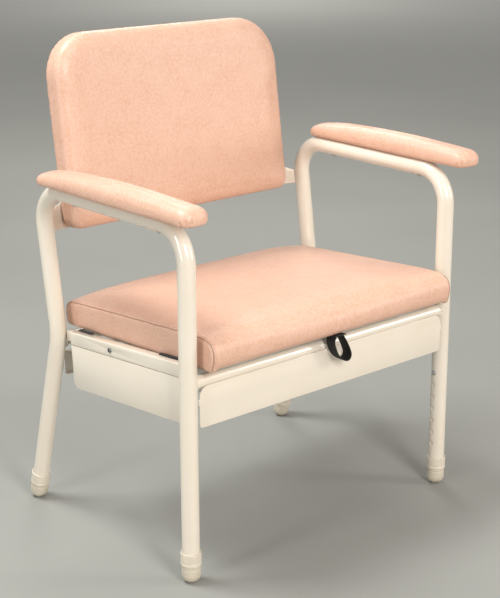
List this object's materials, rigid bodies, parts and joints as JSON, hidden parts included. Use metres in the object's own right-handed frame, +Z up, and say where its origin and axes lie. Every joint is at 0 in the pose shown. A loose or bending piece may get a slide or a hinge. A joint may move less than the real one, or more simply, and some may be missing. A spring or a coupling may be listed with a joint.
{
  "type": "commode chair",
  "caption": "Padded bariatric commode chair: bent tube frame, adjustable legs, padded arms and back, lift-off seat cushion, toilet seat and a pan that slides out.",
  "frame": {"origin": "centre of the bounding box, on the floor", "axes": "+Z up, +Y towards the back, +X to the right as seen from the front"},
  "size_m": [0.7326, 0.5426, 0.9061],
  "materials": {
    "frame_paint": "gloss cream powder coat",
    "leg_paint": "gloss cream powder coat",
    "vinyl": "salmon leatherette with a soft sheen",
    "plywood": "bare plywood",
    "steel": "zinc plated",
    "spring_steel": "plain",
    "tip_rubber": "cream rubber",
    "collar_plastic": "cream moulded plastic",
    "black_rubber": "matt",
    "seat_plastic": "light grey moulded plastic",
    "pan_plastic": "off-white moulded plastic",
    "webbing": "black woven webbing"
  },
  "bodies": {
    "frame": {"front_rail": "frame_paint", "rear_rail": "frame_paint", "front_apron": "frame_paint", "back_panel": "frame_paint", "backrest_pad": "vinyl", "backrest_board": "plywood", "toilet_seat": "seat_plastic", "left_side_frame": "frame_paint", "left_front_collar": "collar_plastic", "left_rear_collar": "collar_plastic", "left_side_rail": "frame_paint", "left_rail_screw": "steel", "left_side_apron": "frame_paint", "left_front_buffer": "black_rubber", "left_rear_buffer": "black_rubber", "left_pan_rail": "frame_paint", "left_rear_bracket": "frame_paint", "left_lower_back_screw": "steel", "left_upper_back_screw": "steel", "left_arm_screw_1": "steel", "left_arm_screw_2": "steel", "left_arm_pad": "vinyl", "left_arm_board": "plywood", "right_side_frame": "frame_paint", "right_front_collar": "collar_plastic", "right_rear_collar": "collar_plastic", "right_side_rail": "frame_paint", "right_rail_screw": "steel", "right_side_apron": "frame_paint", "right_front_buffer": "black_rubber", "right_rear_buffer": "black_rubber", "right_pan_rail": "frame_paint", "right_rear_bracket": "frame_paint", "right_lower_back_screw": "steel", "right_upper_back_screw": "steel", "right_arm_screw_1": "steel", "right_arm_screw_2": "steel", "right_arm_pad": "vinyl", "right_arm_board": "plywood"},
    "left_front_leg": {"left_front_inner_leg": "leg_paint", "left_front_tip": "tip_rubber"},
    "left_front_snap": {"left_front_button": "steel", "left_front_spring": "spring_steel"},
    "left_rear_leg": {"left_rear_inner_leg": "leg_paint", "left_rear_tip": "tip_rubber"},
    "left_rear_snap": {"left_rear_button": "steel", "left_rear_spring": "spring_steel"},
    "right_front_leg": {"right_front_inner_leg": "leg_paint", "right_front_tip": "tip_rubber"},
    "right_front_snap": {"right_front_button": "steel", "right_front_spring": "spring_steel"},
    "right_rear_leg": {"right_rear_inner_leg": "leg_paint", "right_rear_tip": "tip_rubber"},
    "right_rear_snap": {"right_rear_button": "steel", "right_rear_spring": "spring_steel"},
    "cushion": {"seat_pad": "vinyl", "seat_board": "plywood", "pull_strap": "webbing"},
    "pan": {"pan": "pan_plastic"}
  },
  "joints": [
    {"name": "left_front_leg_slide", "type": "slide", "parent": "frame", "child": "left_front_leg", "axis": [0, 0, -1], "range_m": [0, 0.15]},
    {"name": "left_front_snap_press", "type": "slide", "parent": "left_front_leg", "child": "left_front_snap", "axis": [-0.9999, -0.0147, 0], "range_m": [0, 0.005], "stiffness_N_per_m": 900, "springref_m": -0.004, "deforming": ["left_front_spring"]},
    {"name": "left_rear_leg_slide", "type": "slide", "parent": "frame", "child": "left_rear_leg", "axis": [-0.0038, 0.2601, -0.9656], "range_m": [0, 0.15]},
    {"name": "left_rear_snap_press", "type": "slide", "parent": "left_rear_leg", "child": "left_rear_snap", "axis": [-0.9999, -0.0147, 0], "range_m": [0, 0.005], "stiffness_N_per_m": 900, "springref_m": -0.004, "deforming": ["left_rear_spring"]},
    {"name": "right_front_leg_slide", "type": "slide", "parent": "frame", "child": "right_front_leg", "axis": [0, 0, -1], "range_m": [0, 0.15]},
    {"name": "right_front_snap_press", "type": "slide", "parent": "right_front_leg", "child": "right_front_snap", "axis": [0.9999, -0.0147, 0], "range_m": [0, 0.005], "stiffness_N_per_m": 900, "springref_m": -0.004, "deforming": ["right_front_spring"]},
    {"name": "right_rear_leg_slide", "type": "slide", "parent": "frame", "child": "right_rear_leg", "axis": [0.0038, 0.2601, -0.9656], "range_m": [0, 0.15]},
    {"name": "right_rear_snap_press", "type": "slide", "parent": "right_rear_leg", "child": "right_rear_snap", "axis": [0.9999, -0.0147, 0], "range_m": [0, 0.005], "stiffness_N_per_m": 900, "springref_m": -0.004, "deforming": ["right_rear_spring"]},
    {"name": "cushion_lift", "type": "slide", "parent": "frame", "child": "cushion", "axis": [0, -0.1736, 0.9848], "range_m": [0, 0.36]},
    {"name": "pan_slide", "type": "slide", "parent": "frame", "child": "pan", "axis": [0, 1, 0], "range_m": [0, 0.34]}
  ]
}
